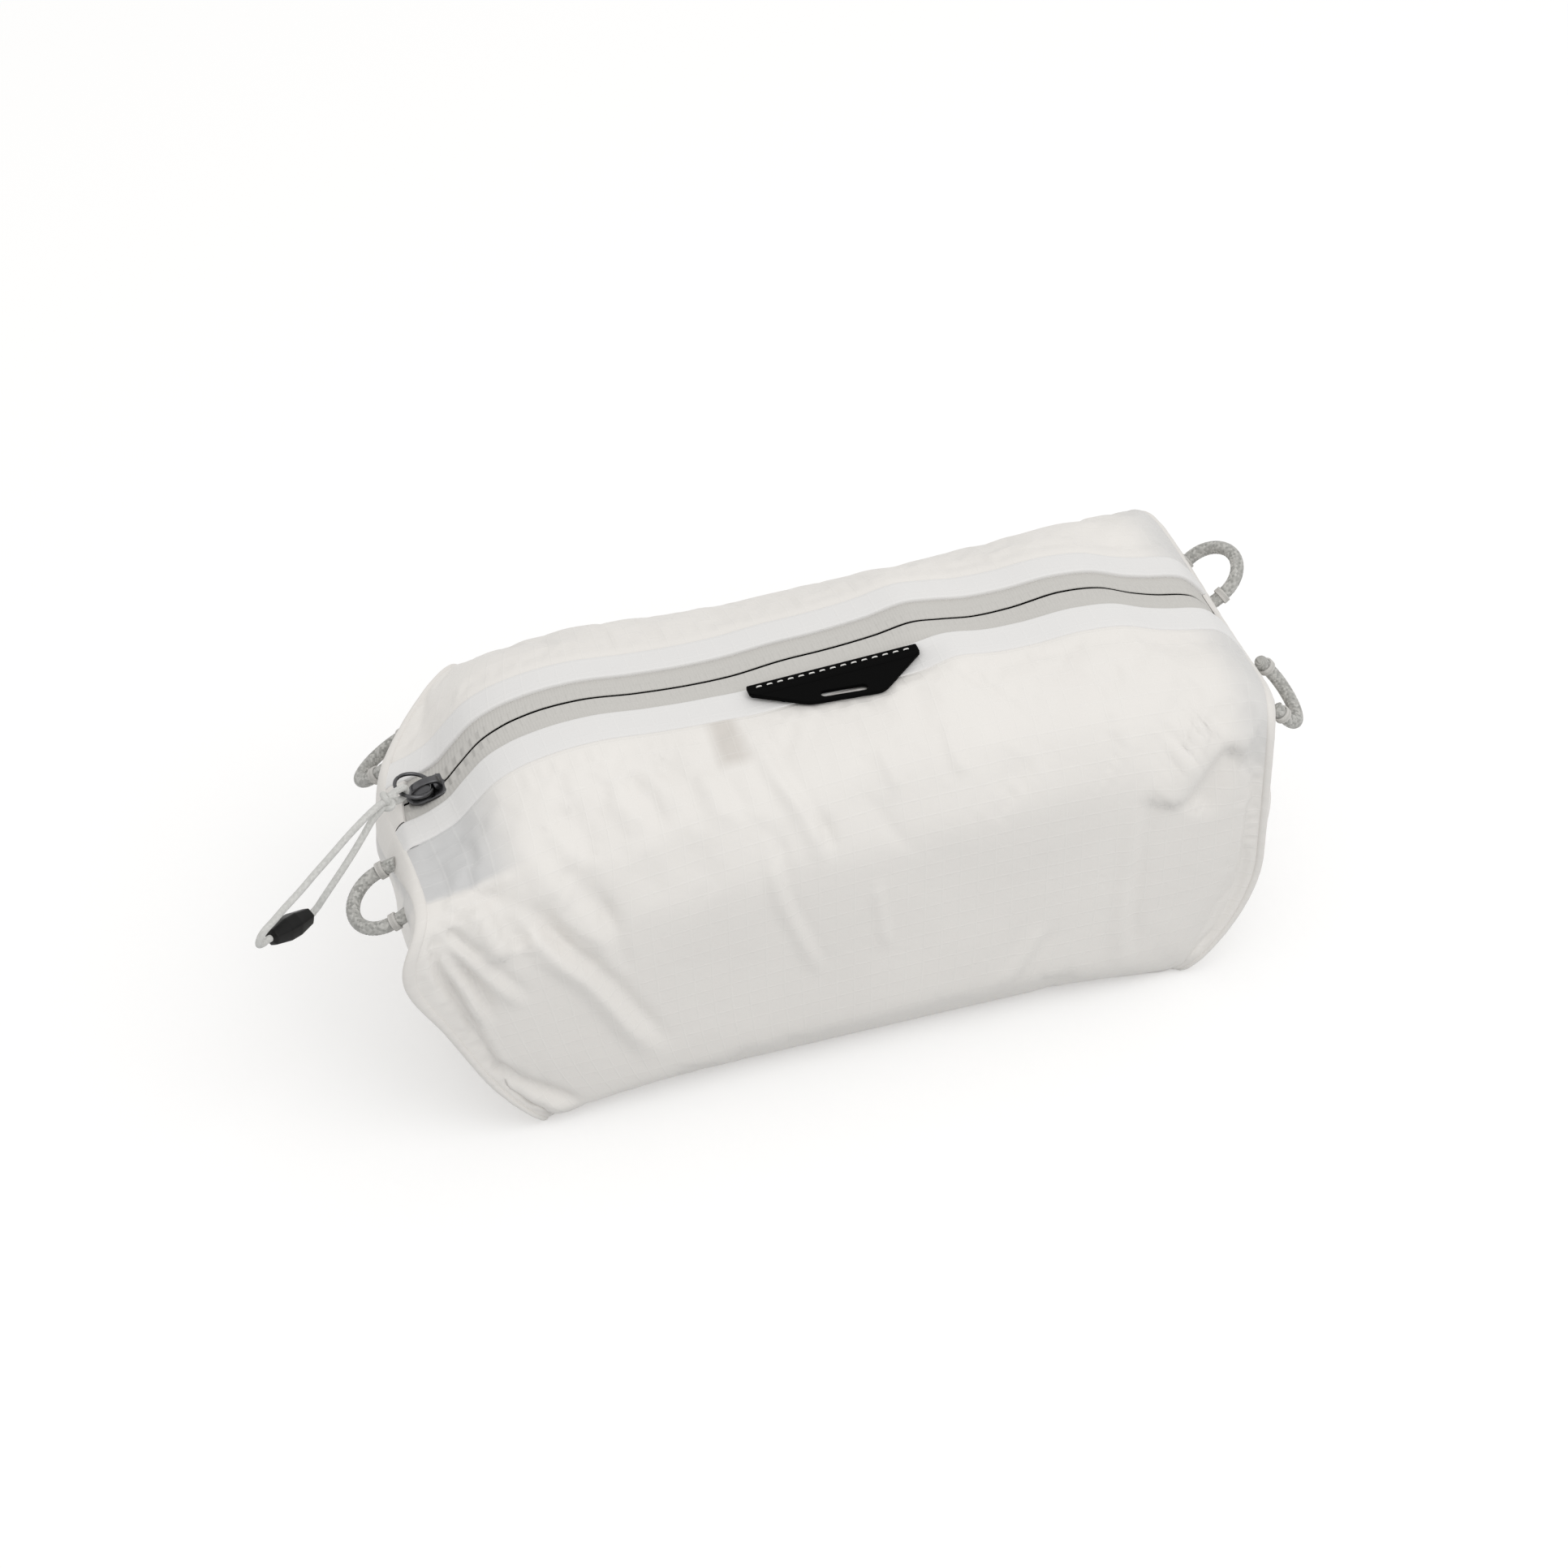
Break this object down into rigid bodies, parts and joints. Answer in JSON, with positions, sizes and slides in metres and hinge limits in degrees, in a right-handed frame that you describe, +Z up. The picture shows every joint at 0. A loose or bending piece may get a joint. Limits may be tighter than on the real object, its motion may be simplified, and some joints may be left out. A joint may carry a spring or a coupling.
{
  "type": "stuff_sack",
  "caption": "Small zipped stuff sack of thin translucent ripstop fabric, stuffed to a pillow shape, with corner cord loops, a hang tab and a cord zip pull.",
  "frame": {"origin": "middle of the resting face", "axes": "+X along the zip towards its open-end stop, -Y the front that carries the hang tab, +Z up towards the zip"},
  "size_m": [0.3139, 0.1074, 0.1114],
  "materials": {
    "shell_fabric": "thin translucent ripstop, off-white",
    "facing_fabric": "doubled translucent ripstop, cool white",
    "zip_tape": "woven tape, light grey",
    "zip_coil": "nylon coil, light grey",
    "zip_metal": "dark gunmetal plating",
    "cord": "braided cord, light grey",
    "whipping_thread": "bound thread, light grey",
    "cord_end_plastic": "moulded plastic, black",
    "tab_rubber": "rubberised webbing, black",
    "stitching": "polyester thread, white",
    "label": "blank woven label, light grey"
  },
  "bodies": {
    "bag": {"front_panel": "shell_fabric", "back_panel": "shell_fabric", "bottom_panel": "shell_fabric", "left_end_panel": "shell_fabric", "right_end_panel": "shell_fabric", "front_facing": "facing_fabric", "back_facing": "facing_fabric", "left_binding": "shell_fabric", "right_binding": "shell_fabric", "left_zip_flap": "shell_fabric", "right_zip_flap": "shell_fabric", "inner_label": "label", "front_tape": "zip_tape", "back_tape": "zip_tape", "front_coil": "zip_coil", "back_coil": "zip_coil", "left_stops": "zip_metal", "right_stop": "zip_metal", "tab_head_strip": "tab_rubber", "tab_stitches": "stitching"},
    "slider": {"slider_body": "zip_metal", "slider_bail": "zip_metal"},
    "pull": {"pull_ring": "zip_metal", "pull_cord": "cord", "pull_knot": "cord", "cord_end": "cord_end_plastic"},
    "tab": {"hang_tab": "tab_rubber"},
    "left_front_loop": {"left_front_loop": "cord", "left_front_whipping": "whipping_thread"},
    "left_back_loop": {"left_back_loop": "cord", "left_back_whipping": "whipping_thread"},
    "right_front_loop": {"right_front_loop": "cord", "right_front_whipping": "whipping_thread"},
    "right_back_loop": {"right_back_loop": "cord", "right_back_whipping": "whipping_thread"}
  },
  "joints": [
    {"name": "slider_travel", "type": "hinge", "parent": "bag", "child": "slider", "pos_m": [0.028, 0, -0.371], "axis": [0, 1, 0], "range_deg": [0, 26.4]},
    {"name": "pull_swing", "type": "hinge", "parent": "slider", "child": "pull", "pos_m": [-0.11206, 0, 0.08942], "axis": [0, 1, 0], "range_deg": [0, 110]},
    {"name": "tab_lift", "type": "hinge", "parent": "bag", "child": "tab", "pos_m": [0.00296, -0.01316, 0.10919], "axis": [-0.9986, 0, -0.0521], "range_deg": [0, 110]},
    {"name": "left_front_loop_bend", "type": "hinge", "parent": "bag", "child": "left_front_loop", "pos_m": [-0.12993, -0.026, 0.07646], "axis": [-0.1288, 0.9892, 0.0698], "range_deg": [-30, 35]},
    {"name": "left_back_loop_bend", "type": "hinge", "parent": "bag", "child": "left_back_loop", "pos_m": [-0.11927, 0.031, 0.07646], "axis": [0.5315, 0.8442, -0.0698], "range_deg": [-20, 60]},
    {"name": "right_front_loop_bend", "type": "hinge", "parent": "bag", "child": "right_front_loop", "pos_m": [0.12913, -0.026, 0.0813], "axis": [-0.1639, -0.984, -0.0698], "range_deg": [-5, 60]},
    {"name": "right_back_loop_bend", "type": "hinge", "parent": "bag", "child": "right_back_loop", "pos_m": [0.12913, 0.026, 0.0813], "axis": [0.1639, -0.984, 0.0698], "range_deg": [-60, 20]}
  ]
}
